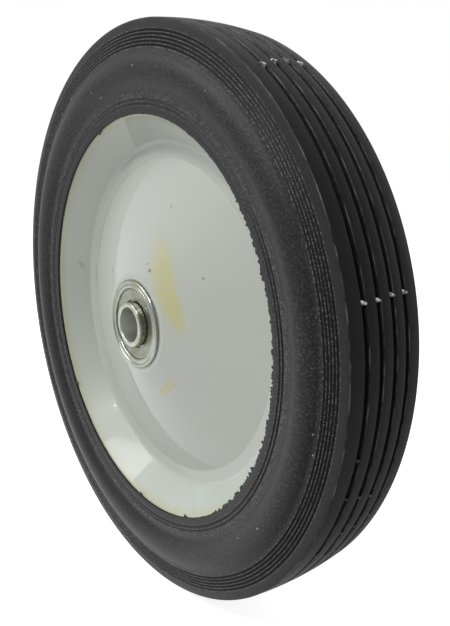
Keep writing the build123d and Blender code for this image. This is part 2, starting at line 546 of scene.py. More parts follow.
@dataclass(frozen=True)
class RimPaint:
    """Pale grey-green paint, yellowed at the edge, with handling marks on the disc.

    Scales are grains in a metre.
    """

    disc_colour: Colour = (0.455, 0.485, 0.445)
    wall_reflection_colour: Colour = (0.475, 0.515, 0.465)
    yellowed_colour: Colour = (0.46, 0.45, 0.29)
    jitter_scale: float = 220.0
    drift_scale: float = 22.0
    wall: Span = (78.0, 83.0)
    drift: Span = (0.3, 0.8)
    drift_share: float = 0.10
    edge: Span = (87.8, 90.2)
    edge_unevenness: float = 1.6
    edge_share: float = 0.62
    crease_radius: float = 72.9
    crease: Span = (0.55, 0.1)
    crease_dirt_and_shade: float = 0.12
    left: Span = (-48.0, -66.0)
    left_drift: Span = (0.2, 0.6)
    left_grime: float = 0.7
    roughness: float = 0.34
    jitter_roughness: float = 0.06
    drift_roughness: float = 0.05
    coat: float = 0.5
    coat_roughness: float = 0.07
    orange_peel_scale: float = 260.0
    orange_peel_depth: float = 0.006
    marks: tuple[Marks, ...] = (
        Marks((Spot(20.3, 22.5, 16.0, 5.6, 117.0), Spot(28.6, 10.0, 9.0, 3.8, 112.0)), STAIN, 0.6, 0.75),
        Marks((Spot(19.2, -25.4, 8.0, 0.8, 40.0), Spot(20.9, -26.8, 7.6, 0.7, 40.0)), STAIN, 0.3, 0.85),
        Marks((Spot(-81.4, 15.4, 1.8, 0.7, 100.0), Spot(-73.4, 12.0, 5.0, 0.7, 95.0)), GRIME_AND_SHADE, 0.8, 0.35),
        Marks(
            (
                Spot(-28.4, 20.5, 1.3, 0.6, 80.0),
                Spot(10.7, 25.4, 0.9, 0.8),
                Spot(40.4, 25.3, 0.5, 0.5),
                Spot(14.2, 52.4, 0.5, 0.4),
                Spot(8.0, 28.0, 0.6, 0.3, 40.0),
            ),
            DIRT, 0.5, 0.7, uneven=False,
        ),
    )

    def make(self, name: str) -> bpy.types.Material:
        """Build the material.

        Args:
            name: its name.

        Returns:
            The material.
        """
        bench = Bench(name)
        x, y, z = bench.axes()
        radius = (x * x + z * z).root()
        jitter = bench.cloud(self.jitter_scale, octaves=3.0)
        drift = bench.cloud(self.drift_scale)
        # The wall's greener tint is a painted reflection.
        colour = bench.blend(radius.ramp(*self.wall), self.disc_colour, self.wall_reflection_colour)
        colour = bench.blend(drift.ramp(*self.drift) * self.drift_share, colour, self.yellowed_colour)
        edge = (radius + jitter * self.edge_unevenness).ramp(*self.edge)
        colour = bench.blend(edge * self.edge_share, colour, self.yellowed_colour)
        for marks in self.marks:
            for spot in marks.spots:
                mask = spot.mask(bench, marks.fade, jitter if marks.uneven else None)
                colour = bench.blend(mask * marks.strength, colour, marks.colour)
        # The crease between the disc and the floor ring is darkened all round as painted shade with some
        # dirt, with more dirt on the left.
        crease = (radius - self.crease_radius).size().ramp(*self.crease)
        left = x.ramp(*self.left) * on_front(y)
        crease_dirt_and_shade_share = self.crease_dirt_and_shade + left * drift.ramp(*self.left_drift) * self.left_grime
        colour = bench.blend(crease * crease_dirt_and_shade_share, colour, GRIME_AND_SHADE)
        rough = self.roughness + jitter * self.jitter_roughness + drift * self.drift_roughness
        orange_peel = bench.cloud(self.orange_peel_scale, octaves=1.0)
        return bench.surface({"Base Color": colour, "Roughness": rough, "Coat Weight": self.coat,
                              "Coat Roughness": self.coat_roughness,
                              "Normal": bench.bump(orange_peel, self.orange_peel_depth)})


@dataclass(frozen=True)
class PlatedSteel:
    """Turned steel with a thin plating, tinted yellow where it has aged, and bright in the bore.

    Scales are grains in a metre.
    """

    colour: Colour
    aged_colour: Colour
    roughness: float
    ageing: float
    pit_colour: Colour = (0.16, 0.14, 0.11)
    bore_colour: Colour = (0.85, 0.86, 0.82)
    ring_pitch: float = 0.35
    wobble_scale: float = 300.0
    wobble: float = 6.0
    patch_scale: float = 170.0
    patches_aged: Span = (0.42, 0.68)
    aged_from: Span = (8.2, 9.0)
    pits: float = 0.5
    bore: Span = (8.1, 8.0)
    bore_share: float = 0.8
    unevenness: float = 0.12
    grain_scale: float = 900.0
    grain_height: float = 0.3
    ring_height: float = 0.5
    bump_depth: float = 0.005

    def make(self, name: str) -> bpy.types.Material:
        """Build the material.

        Args:
            name: its name.

        Returns:
            The material.
        """
        bench = Bench(name)
        x, _, z = bench.axes()
        radius = (x * x + z * z).root()
        turns = radius * (math.tau / self.ring_pitch) + bench.cloud(self.wobble_scale) * self.wobble
        patches = bench.cloud(self.patch_scale, octaves=3.0)
        aged = patches.ramp(*self.patches_aged) * self.ageing * radius.ramp(*self.aged_from)
        pits = bench.dots(scale=700.0, radius=0.12, share=0.2)
        bore = radius.ramp(*self.bore)
        colour = bench.blend(aged, self.colour, self.aged_colour)
        colour = bench.blend(pits * self.pits, colour, self.pit_colour)
        colour = bench.blend(bore * self.bore_share, colour, self.bore_colour)
        rough = self.roughness + patches * self.unevenness + aged * self.unevenness + bore * self.unevenness
        height = turns.wave() * self.ring_height + bench.cloud(self.grain_scale) * self.grain_height
        return bench.surface({"Base Color": colour, "Roughness": rough, "Metallic": 1.0,
                              "Normal": bench.bump(height, self.bump_depth)})


@dataclass(frozen=True)
class Nylon:
    """Natural nylon of the ball cages."""

    colour: Colour = (0.62, 0.58, 0.47)
    shade_colour: Colour = (0.45, 0.42, 0.33)
    cloud_scale: float = 260.0
    shade: float = 0.3
    roughness: float = 0.45
    cloud_roughness: float = 0.1
    grain_scale: float = 1200.0
    bump_depth: float = 0.01

    def make(self, name: str) -> bpy.types.Material:
        """Build the material.

        Args:
            name: its name.

        Returns:
            The material.
        """
        bench = Bench(name)
        cloud = bench.cloud(self.cloud_scale)
        colour = bench.blend(cloud * self.shade, self.colour, self.shade_colour)
        rough = self.roughness + cloud * self.cloud_roughness
        return bench.surface({"Base Color": colour, "Roughness": rough,
                              "Normal": bench.bump(bench.cloud(self.grain_scale), self.bump_depth)})


CUP_STEEL = PlatedSteel((0.37, 0.395, 0.355), (0.3, 0.3, 0.21), roughness=0.22, ageing=0.6)
SHIELD_STEEL = PlatedSteel((0.29, 0.3, 0.265), (0.25, 0.24, 0.155), roughness=0.28, ageing=0.75)
NOSE_STEEL = PlatedSteel((0.46, 0.475, 0.43), (0.3, 0.275, 0.16), roughness=0.2, ageing=0.8)
BALL_STEEL = PlatedSteel((0.7, 0.7, 0.7), (0.6, 0.6, 0.58), roughness=0.1, ageing=0.2)


# Turned pieces


def circle_through(first: Point, middle: Point, last: Point) -> tuple[float, float, float]:
    """Circle through three points.

    Args:
        first: one point.
        middle: a second point.
        last: a third point.

    Returns:
        The centre's two coordinates and the radius.
    """
    ax, ay, bx, by, cx, cy = *first, *middle, *last
    d = 2 * (ax * (by - cy) + bx * (cy - ay) + cx * (ay - by))
    a2, b2, c2 = ax * ax + ay * ay, bx * bx + by * by, cx * cx + cy * cy
    x = (a2 * (by - cy) + b2 * (cy - ay) + c2 * (ay - by)) / d
    y = (a2 * (cx - bx) + b2 * (ax - cx) + c2 * (bx - ax)) / d
    return x, y, math.hypot(ax - x, ay - y)


@dataclass
class Section:
    """Half section of a turned piece: points of (radius, distance along Y) and their bends."""

    closed: bool = True
    points: list[Point] = field(default_factory=list)
    bends: dict[int, Bend] = field(default_factory=dict)
    merge_distance: float = 1e-5

    def to(self, radius: float, y: float, rounding: float = 0.0, segments: int = 3) -> None:
        """Add a corner.

        Args:
            radius: its distance from the axle.
            y: its distance along the axle.
            rounding: how far along its sides it is rounded.
            segments: divisions of the rounding.
        """
        if rounding:
            self.bends[len(self.points)] = (rounding, segments)
        self.points.append((radius, y))

    def spin(self, name: str, steps: int, wall: float = 0.0,
             outward: Vector | None = None) -> bpy.types.Object:
        """Turn the section about Y into a mesh object.

        Args:
            name: name of the object.
            steps: divisions of the turn.
            wall: sheet thickness for an open section, added behind it.
            outward: rough direction that an open section faces.

        Returns:
            The object, in metres.
        """
        bm = bmesh.new()
        verts = [bm.verts.new((radius, y, 0.0)) for radius, y in self.points]
        for first, second in zip(verts, verts[1:] + (verts[:1] if self.closed else [])):
            bm.edges.new((first, second))
        for index, (offset, segments) in self.bends.items():
            bmesh.ops.bevel(bm, geom=[verts[index]], offset=offset, offset_type="OFFSET", segments=segments,
                            profile=0.5, affect="VERTICES", material=-1)
        bmesh.ops.spin(bm, geom=bm.verts[:] + bm.edges[:], cent=(0, 0, 0), axis=(0, 1, 0), dvec=(0, 0, 0),
                       angle=math.tau, steps=steps, use_merge=True, use_duplicate=False)
        bmesh.ops.remove_doubles(bm, verts=bm.verts[:], dist=self.merge_distance)
        bmesh.ops.recalc_face_normals(bm, faces=bm.faces[:])
        if not self.closed:
            facing = sum((f.normal * f.calc_area() for f in bm.faces), Vector())
            if facing.dot(outward) < 0:
                bmesh.ops.reverse_faces(bm, faces=bm.faces[:])
            bmesh.ops.solidify(bm, geom=bm.faces[:], thickness=wall)
        return finish_mesh(bm, name)


def finish_mesh(bm: bmesh.types.BMesh, name: str, sharp_deg: float = 38.0) -> bpy.types.Object:
    """Scale a bmesh in millimetres to metres and make it an object.

    Args:
        bm: the mesh, which is freed.
        name: name of the object.
        sharp_deg: edges that turn by more than this stay sharp.

    Returns:
        The object.
    """
    bmesh.ops.scale(bm, vec=(MM, MM, MM), verts=bm.verts[:])
    for face in bm.faces:
        face.smooth = True
    limit = math.radians(sharp_deg)
    for edge in bm.edges:
        edge.smooth = not (len(edge.link_faces) == 2 and edge.calc_face_angle(0.0) > limit)
    mesh = bpy.data.meshes.new(name)
    bm.to_mesh(mesh)
    bm.free()
    piece = bpy.data.objects.new(name, mesh)
    bpy.context.scene.collection.objects.link(piece)
    return piece


def seat(piece: bpy.types.Object, material: bpy.types.Material, slot: Slot, body: Body,
         *nodes: str) -> None:
    """Dress a piece, put it on its body and hide the CAD nodes that it stands for.

    Args:
        piece: the finished object.
        material: its material.
        slot: the record's material slot; not used.
        body: the body that it rides on.
        nodes: CAD nodes that it replaces.
    """
    piece.data.materials.append(material)
    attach(piece, body.value)
    if nodes:
        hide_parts(*nodes)
    LOG.info("%s: %d faces", piece.name, len(piece.data.polygons))


# Tyre


@dataclass
class Tyre:
    """The rubber moulding, with its tread, sidewall rings and lips.

    Each point is a radius and a distance from the centre plane.
    """

    radius: float = 127.0
    tread_drop: float = 1.0
    tread_half_width: float = 17.0
    shoulder_round: float = 0.35
    shoulder_step: float = 1.6
    shoulder_steps: int = 2
    ring_band: Point = (113.8, 18.1)
    ring_band_rise: float = 0.15
    bulge: Point = (106.8, 20.4)
    bulge_steps: int = 26
    apron: Point = (99.8, 17.6)
    apron_edge: float = 1.4
    apron_round: float = 0.5
    lip: Point = (90.2, 16.8)
    lip_round: float = 0.3
    lip_taper: float = 0.2
    lip_underside: float = 15.8
    base: Point = (83.2, 3.7)
    groove_count: int = 4
    groove_pitch: float = 6.6
    groove_width: float = 2.1
    groove_floor_width: float = 1.4
    groove_depth: float = 2.6
    groove_floor_round: float = 0.55
    rib_round: float = 0.22
    ring_grooves: int = 5
    ring_pitch: float = 1.36
    ring_start: float = 116.0
    ring_depth: float = 0.75
    ring_crest: float = 0.12
    bead_grooves: int = 2
    bead_pitch: float = 1.8
    bead_start: float = 94.1
    bead_depth: float = 0.55
    bead_half_share: float = 0.3
    fine_lip_round: float = 0.09
    fine_root_round: float = 0.1
    steps: int = 304

    @property
    def ring_band_start(self) -> float:
        """Radius of the crest inside the first ring groove."""
        return self.ring_start - self.ring_pitch / 2

    @property
    def ring_band_end(self) -> float:
        """Radius of the crest outside the last ring groove."""
        return self.ring_band_start + self.ring_grooves * self.ring_pitch

    def crown(self, y: float) -> float:
        """Radius of the tread at a distance from the centre plane."""
        return self.radius - self.tread_drop * (y / self.tread_half_width) ** 2

    def groove_middle(self, index: int) -> float:
        """Distance along Y of a tread groove's middle."""
        return (index - (self.groove_count - 1) / 2) * self.groove_pitch

    def sidewall(self, radius: float) -> float:
        """Follow the smooth sidewall: an arc to the ring band, an arc to the apron, and a line.

        Args:
            radius: where to measure.

        Returns:
            Distance from the centre plane.
        """
        shoulder = (self.radius - self.tread_drop, self.tread_half_width)
        if radius > self.ring_band[0]:
            middle = (
                (shoulder[0] + self.ring_band[0]) / 2,
                (shoulder[1] + self.ring_band[1]) / 2 + self.ring_band_rise,
            )
            x, y, arc = circle_through(shoulder, middle, self.ring_band)
        elif radius > self.apron[0]:
            x, y, arc = circle_through(self.ring_band, self.bulge, self.apron)
        else:
            share = (radius - self.lip[0]) / (self.apron[0] - self.lip[0])
            return self.lip[1] + share * (self.apron[1] - self.lip[1])
        return y + math.sqrt(arc * arc - (radius - x) ** 2)

    def fine_groove(self, radius: float, half: float, depth: float) -> list[Corner]:
        """V groove with soft lips.

        Args:
            radius: radius of its root.
            half: half of its width.
            depth: its depth.

        Returns:
            Its corners, from the outer to the inner one.
        """
        cuts = (
            (half, 0.0, self.fine_lip_round),
            (0.0, depth, self.fine_root_round),
            (-half, 0.0, self.fine_lip_round),
        )
        return [(radius + offset, self.sidewall(radius + offset) - sink, rounding)
                for offset, sink, rounding in cuts]

    def side_profile(self) -> list[Corner]:
        """One sidewall, from the tread's shoulder to the base.

        Returns:
            Corners of (radius, distance from the centre plane, rounding).
        """
        shoulder = self.radius - self.tread_drop
        profile = [(shoulder, self.tread_half_width, self.shoulder_round)]
        for index in range(1, self.shoulder_steps + 1):
            spot = shoulder - index * self.shoulder_step
            profile.append((spot, self.sidewall(spot), 0.0))
        for index in reversed(range(self.ring_grooves)):
            centre = self.ring_start + index * self.ring_pitch
            profile += self.fine_groove(centre, self.ring_pitch / 2 - self.ring_crest, self.ring_depth)
        for index in range(self.bulge_steps + 1):
            spot = self.ring_band[0] - (self.ring_band[0] - self.apron[0]) * index / self.bulge_steps
            profile.append((spot, self.sidewall(spot), 0.0))
        apron_edge = self.apron[0] - self.apron_edge
        profile.append((apron_edge, self.sidewall(apron_edge), self.apron_round))
        for index in reversed(range(self.bead_grooves)):
            centre = self.bead_start + index * self.bead_pitch
            profile += self.fine_groove(centre, self.bead_pitch * self.bead_half_share, self.bead_depth)
        profile.append((self.lip[0], self.lip[1], self.lip_round))
        profile.append((self.lip[0] + self.lip_taper, self.lip_underside, 0.0))
        profile.append((self.base[0], self.base[1], 0.0))
        return profile

    def make_body(self) -> bpy.types.Object:
        """Turn the whole moulding.

        Returns:
            The rubber without its flash and ties.
        """
        section = Section()
        half, floor_half = self.groove_width / 2, self.groove_floor_width / 2
        for index in range(self.groove_count):
            y = self.groove_middle(index)
            floor = self.crown(y) - self.groove_depth
            section.to(self.crown(y - half), y - half, self.rib_round)
            section.to(floor, y - floor_half, self.groove_floor_round)
            section.to(floor, y + floor_half, self.groove_floor_round)
            section.to(self.crown(y + half), y + half, self.rib_round)
            if index < self.groove_count - 1:
                middle = y + self.groove_pitch / 2
                section.to(self.crown(middle), middle)
        profile = self.side_profile()
        for radius, distance, rounding in profile:
            section.to(radius, distance, rounding)
        for radius, distance, rounding in reversed(profile):
            section.to(radius, -distance, rounding)
        return section.spin("tyre_rubber", self.steps)

    def build(self, rubber: bpy.types.Material, highlit_and_rubbed: bpy.types.Material) -> None:
        """Make the tyre's pieces and dress them.

        Args:
            rubber: black rubber.
            highlit_and_rubbed: rubber painted pale as a highlight.
        """
        seat(self.make_body(), rubber, Slot.TYRE, Body.WHEEL, "tyre")
        for side in Side:
            seat(LipFlash(self, side).make(), rubber, Slot.TYRE, Body.WHEEL)
        seat(GrooveTies(self, highlit=False).make(), rubber, Slot.TYRE, Body.WHEEL)
        # The ties of the bright rows take the painted highlight.
        seat(GrooveTies(self, highlit=True).make(), highlit_and_rubbed, Slot.TYRE, Body.WHEEL)


@dataclass
class LipFlash:
    """Thin torn flash of the moulding, along the inner edge of one lip.

    A tooth is a frequency of the tearing and its strength. Shares are of the greatest reach.
    """

    tyre: Tyre
    side: Side
    root: float = 0.9
    below_lip: float = 0.25
    thickness: float = 0.42
    edge: float = 0.05
    edge_bulge: float = 0.12
    edge_zone: float = 0.3
    reach: float = 2.5
    ragged_from_deg: float = -56.0
    ragged_to_deg: float = 46.0
    ragged_fade_deg: float = 8.0
    ragged_share: float = 0.34
    teeth: tuple[tuple[float, float], ...] = ((34.0, 0.9), (90.0, 0.7), (260.0, 0.25))
    teeth_elsewhere: float = 0.15
    wave_frequency: float = 9.0
    wave_share: float = 0.4
    nick_angles_deg: tuple[float, ...] = (-146.5, 111.4, -94.5, -68.6)
    nick_half_width_deg: float = 0.9
    nick_share: float = 0.6
    steps: int = 1500

    def raggedness(self, angle: float) -> float:
        """Tear the flash at an angle.

        Args:
            angle: angle about the axle, in radians.

        Returns:
            How far it reaches inwards, as a share of the greatest reach.
        """
        degrees = math.degrees(angle)
        since_start = (degrees - self.ragged_from_deg) / self.ragged_fade_deg
        until_end = (self.ragged_to_deg - degrees) / self.ragged_fade_deg
        zone = max(0.0, min(1.0, since_start, until_end))
        spot = Vector((math.cos(angle), math.sin(angle), 0.0))
        teeth = sum(noise.noise(spot * frequency) * strength for frequency, strength in self.teeth)
        waves = 1.0 - self.wave_share + self.wave_share * noise.noise(spot * self.wave_frequency)
        ragged = min(1.0, (self.ragged_share + teeth) * waves * zone)
        nearest = min(abs(degrees - nick_deg) for nick_deg in self.nick_angles_deg)
        nick = 1.0 - nearest / self.nick_half_width_deg
        return max(0.0, ragged, nick * self.nick_share, teeth * self.teeth_elsewhere)

    def make(self) -> bpy.types.Object:
        """Turn a thin ring inside the lip and pull its inner edge inwards.

        Returns:
            The flash of one side.
        """
        sign, lip = self.side.value, self.tyre.lip[0]
        top = self.tyre.lip[1] - self.below_lip
        section = Section()
        section.to(lip + self.root, sign * top)
        section.to(lip - self.edge, sign * top)
        section.to(lip - self.edge_bulge, sign * (top - self.thickness / 2))
        section.to(lip - self.edge, sign * (top - self.thickness))
        section.to(lip + self.root, sign * (top - self.thickness))
        piece = section.spin(f"{self.side.word}_lip_flash", self.steps)
        for vertex in piece.data.vertices:
            radius = math.hypot(vertex.co.x, vertex.co.z)
            if radius > (lip + self.edge_zone) * MM:
                continue
            angle = -sign * math.atan2(vertex.co.z, vertex.co.x)
            inward = self.raggedness(angle) * self.reach * MM
            vertex.co.x *= (radius - inward) / radius
            vertex.co.z *= (radius - inward) / radius
        return piece


@dataclass(frozen=True)
class TieRow:
    """A row of ties across the tread, where mould segments met.

    The angles are those of the tie in each groove, in order along Y. None means no tie there.
    """

    angles_deg: tuple[float | None, ...]
    # Ties of such a row stand prouder and carry a painted highlight.
    highlit: bool = False


@dataclass
class GrooveTies:
    """The small rubber ties across the tread grooves, of the rows with a painted highlight or of the
    others.
    """

    tyre: Tyre
    highlit: bool
    highlit_proud: float = 0.45
    plain_proud: float = 0.05
    length: float = 1.05
    length_spread: float = 0.5
    overlap: float = 0.4
    skew_deg: float = -24.0
    edge_bend: Bend = (0.33, 3)
    rows: tuple[TieRow, ...] = (
        TieRow((54.0, 55.0, 55.7, 55.6), True),
        TieRow((13.4, 13.4, 13.8, 13.9), True),
        TieRow((-17.7, -18.4, -19.3, None)),
        TieRow((None, -26.9, -26.6, -25.4)),
        TieRow((-31.9, -33.9, -34.5, -34.9)),
        TieRow((-10.4, None, None, None)),
        TieRow((97.2, 98.0, 98.4, 98.6), True),
        TieRow((141.0, 141.5, None, 142.2)),
        TieRow((184.0, 183.5, 183.4, 183.1)),
        TieRow((226.0, 226.3, 226.9, None)),
        TieRow((268.0, 268.2, 268.9, 269.4)),
    )

    def add_tie(self, bm: bmesh.types.BMesh, index: int, angle_deg: float) -> None:
        """Add one tie.

        Args:
            bm: mesh that takes it.
            index: groove that it crosses.
            angle_deg: its angle about the axle.
        """
        y = self.tyre.groove_middle(index)
        proud = self.highlit_proud if self.highlit else self.plain_proud
        length = self.length + self.length_spread * noise.noise(Vector((angle_deg, index, 0.5)))
        size = (self.tyre.groove_depth + proud, self.tyre.groove_width + self.overlap, length)
        verts = bmesh.ops.create_cube(bm, size=1.0)["verts"]
        bmesh.ops.scale(bm, vec=size, verts=verts)
        skew = Matrix.Rotation(math.radians(self.skew_deg), 3, "X")
        bmesh.ops.rotate(bm, cent=(0, 0, 0), matrix=skew, verts=verts)
        edges = list({edge for vertex in verts for edge in vertex.link_edges})
        offset, segments = self.edge_bend
        result = bmesh.ops.bevel(bm, geom=edges, offset=offset, offset_type="OFFSET", segments=segments,
                                 profile=0.5, affect="EDGES", material=-1)
        bevelled = list({vertex for face in result["faces"] for vertex in face.verts})
        inward = (self.tyre.groove_depth - proud) / 2
        place = Matrix.Translation((self.tyre.crown(y) - inward, y, 0.0))
        turn = Matrix.Rotation(math.radians(-angle_deg), 4, "Y")
        bmesh.ops.transform(bm, matrix=turn @ place, verts=bevelled)

    def make(self) -> bpy.types.Object:
        """Make the ties of all rows of this kind.

        Returns:
            The ties as one object.
        """
        bm = bmesh.new()
        for row in self.rows:
            if row.highlit is not self.highlit:
                continue
            for index, angle_deg in enumerate(row.angles_deg):
                if angle_deg is not None:
                    self.add_tie(bm, index, angle_deg)
        return finish_mesh(bm, "highlit_groove_ties" if self.highlit else "tyre_groove_ties")


# Rim and bearings


@dataclass
class RimHalf:
    """One pressed half of the rim, drawn along the sheet's outer face."""

    side: Side
    steel: float = 1.5
    hole_radius: float = 19.1
    hub_seat: Point = (22.3, 19.7)
    hub_bend: Bend = (1.05, 6)
    floor_inner_radius: float = 72.8
    floor_bend: Bend = (0.52, 4)
    wall_foot_radius: float = 79.6
    wall_bend: Bend = (1.64, 10)
    opening: Point = (90.0, 15.9)
    opening_bend: Bend = (1.13, 8)
    curl: float = 4.2
    steps: int = 288

    def build(self, paint: bpy.types.Material) -> None:
        """Spin the sheet and give it its thickness.

        Args:
            paint: the rim's paint.
        """
        sign = self.side.value
        section = Section(closed=False)
        section.to(self.hole_radius, sign * self.hub_seat[1])
        section.to(self.hub_seat[0], sign * self.hub_seat[1], *self.hub_bend)
        section.to(self.floor_inner_radius, sign * self.steel, *self.floor_bend)
        section.to(self.wall_foot_radius, sign * self.steel, *self.wall_bend)
        section.to(self.opening[0], sign * self.opening[1], *self.opening_bend)
        section.to(self.opening[0] + self.curl, sign * self.opening[1])
        outward = Vector((0.0, sign, 0.0))
        piece = section.spin(f"{self.side.word}_rim_pressing", self.steps, self.steel, outward)
        seat(piece, paint, Slot.RIM_PAINT, Body.WHEEL, f"{self.side.word}_rim_half")


@dataclass(frozen=True)
class Fold:
    """A corner of the rolled flange, measured inwards from its rim and down from its top."""

    inset: float
    drop: float
    rounding: float
    segments: int = 4


@dataclass
class Bearing:
    """One flanged ball bearing: rolled cup, dust shield and long-nosed inner race."""

    side: Side
    flange_back: float = 19.7
    flange_height: float = 1.5
    flange_radius: float = 20.2
    flange_bend: Bend = (0.25, 4)
    flange_folds: tuple[Fold, ...] = (
        Fold(0.12, 0.05, 0.95, 8),
        Fold(1.35, 0.0, 0.45),
        Fold(1.75, 0.55, 0.2),
        Fold(2.25, 0.5, 0.2, 3),
        Fold(2.6, 0.2, 0.25),
    )
    cup_radius: float = 17.46
    cup_depth: float = 11.0
    cup_round: float = 0.5
    cup_land_radius: float = 15.0
    cup_land_round: float = 0.3
    mouth_radius: float = 16.15
    mouth_round: float = 0.2
    mouth_slope_width: float = 0.45
    mouth_slope_top: float = 0.28
    mouth_slope_foot: float = 0.75
    shield_sink: float = 1.1
    shield_thickness: float = 0.8
    shield_hole_radius: float = 11.0
    shield_hole_round: float = 0.18
    shield_gap: float = 0.03
    shield_round: float = 0.22
    pressed_from: float = 1.5
    pressed_to: float = 1.9
    pressed_sink: float = 0.14
    pressed_round: float = 0.3
    bore_radius: float = 7.9375
    bore_bend: Bend = (0.45, 4)
    nose_radius: float = 10.3
    nose_end: float = 23.4
    nose_bend: Bend = (0.95, 8)
    land_radius: float = 11.8
    land_round: float = 0.25
    land_below_shield: float = 0.35
    race_end: float = 11.1
    ball_plane: float = 15.4
    groove_depth: float = 0.8
    groove_half: float = 1.9
    groove_curve: tuple[Point, ...] = ((-1.0, 0.0), (-0.6, 0.6), (0.0, 1.0), (0.6, 0.6), (1.0, 0.0))
    steps: int = 180

    @property
    def flange_top(self) -> float:
        """Distance from the centre plane to the flange's top."""
        return self.flange_back + self.flange_height

    @property
    def shield_face(self) -> float:
        """Distance from the centre plane to the shield's outer face."""
        return self.flange_top - self.shield_sink

    @property
    def shield_back(self) -> float:
        """Distance from the centre plane to the shield's inner face."""
        return self.shield_face - self.shield_thickness

    def add_ball_groove(self, section: Section, land: float, depth: float, curve: Iterable[Point]) -> None:
        """Add the groove that the balls run in.

        Args:
            section: section that takes it.
            land: radius beside the groove.
            depth: its depth, negative where it sinks towards the axle.
            curve: shares of the half width and of the depth, in the section's order.
        """
        for offset, sink in curve:
            y = self.ball_plane + offset * self.groove_half
            section.to(land + sink * depth, self.side.value * y)

    def cup(self) -> bpy.types.Object:
        """Turn the outer race with its rolled flange.

        Returns:
            The cup.
        """
        sign, top = self.side.value, self.flange_top
        inner_end = self.flange_back - self.cup_depth
        section = Section()
        section.to(self.cup_land_radius, sign * inner_end, self.cup_land_round)
        section.to(self.cup_radius, sign * inner_end, self.cup_round)
        section.to(self.cup_radius, sign * self.flange_back)
        section.to(self.flange_radius, sign * self.flange_back, *self.flange_bend)
        for fold in self.flange_folds:
            radius = self.flange_radius - fold.inset
            section.to(radius, sign * (top - fold.drop), fold.rounding, fold.segments)
        slope_start = self.mouth_radius + self.mouth_slope_width
        section.to(slope_start, sign * (top - self.mouth_slope_top), self.mouth_round)
        section.to(self.mouth_radius, sign * (top - self.mouth_slope_foot), self.mouth_round)
        section.to(self.mouth_radius, sign * self.shield_back)
        section.to(self.cup_land_radius, sign * self.shield_back)
        self.add_ball_groove(section, self.cup_land_radius, self.groove_depth, reversed(self.groove_curve))
        return section.spin(f"{self.side.word}_flanged_cup", self.steps)

    def shield(self) -> bpy.types.Object:
        """Turn the washer in the mouth of the cup, with a shallow pressed ring.

        Returns:
            The shield.
        """
        sign, face, back = self.side.value, self.shield_face, self.shield_back
        rim = self.mouth_radius - self.shield_gap
        pressed = face - self.pressed_sink
        section = Section()
        section.to(self.shield_hole_radius, sign * back)
        section.to(rim, sign * back)
        section.to(rim, sign * face, self.shield_round)
        section.to(self.mouth_radius - self.pressed_from, sign * face, self.pressed_round)
        section.to(self.mouth_radius - self.pressed_to, sign * pressed, self.pressed_round)
        section.to(self.shield_hole_radius, sign * pressed, self.shield_hole_round)
        return section.spin(f"{self.side.word}_shield_washer", self.steps)

    def race(self) -> bpy.types.Object:
        """Turn the inner race with the rounded nose.

        Returns:
            The race.
        """
        sign = self.side.value
        land_top = self.shield_back - self.land_below_shield
        section = Section()
        section.to(self.bore_radius, sign * self.race_end)
        section.to(self.land_radius, sign * self.race_end, self.land_round)
        self.add_ball_groove(section, self.land_radius, -self.groove_depth, self.groove_curve)
        section.to(self.land_radius, sign * land_top, self.land_round)
        section.to(self.nose_radius, sign * land_top)
        section.to(self.nose_radius, sign * self.nose_end, *self.nose_bend)
        section.to(self.bore_radius, sign * self.nose_end, *self.bore_bend)
        return section.spin(f"{self.side.word}_race_sleeve", self.steps)

    def build(self, cup: bpy.types.Material, shield: bpy.types.Material, race: bpy.types.Material) -> None:
        """Make and dress the three visible pieces.

        Args:
            cup: steel of the cup.
            shield: steel of the shield.
            race: steel of the inner race.
        """
        word = self.side.word
        seat(self.cup(), cup, Slot.ZINC_STEEL, Body.WHEEL, f"{word}_bearing_cup")
        seat(self.shield(), shield, Slot.SHIELD_STEEL, Body.WHEEL, f"{word}_dust_shield")
        seat(self.race(), race, Slot.ZINC_STEEL, Body.AXLE, f"{word}_inner_race")


def dress_inner_nodes(finishes: dict[str, bpy.types.Material]) -> None:
    """Give their materials to the CAD nodes inside the hub, which no new piece replaces.

    Args:
        finishes: material for each node's name.
    """
    for name, material in finishes.items():
        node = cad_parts[name]
        if not node.material_slots:
            node.data.materials.append(material)
        for slot in node.material_slots:
            slot.material = material
        LOG.info("%s: dressed", name)


# Studio


@dataclass
class Camera:
    """Camera at the photograph's angle, with its place in metres."""

    place: tuple[float, float, float] = (0.25125, -0.1615, 0.07101)
    view_direction: tuple[float, float, float] = (-0.766, 0.5879, -0.2599)
    lens: float = 37.38
    sensor: float = 36.0
    shift: tuple[float, float] = (0.0003, 0.037)
    clip_start: float = 0.01

    def build(self) -> None:
        """Place the camera and make it the scene's own."""
        data = bpy.data.cameras.new("camera")
        data.sensor_fit = "VERTICAL"
        data.sensor_height = self.sensor
        data.lens = self.lens
        data.shift_x, data.shift_y = self.shift
        data.clip_start = self.clip_start
        camera = bpy.data.objects.new("camera", data)
        camera.location = self.place
        camera.rotation_euler = Vector(self.view_direction).to_track_quat("-Z", "Y").to_euler()
        bpy.context.scene.collection.objects.link(camera)
        bpy.context.scene.camera = camera


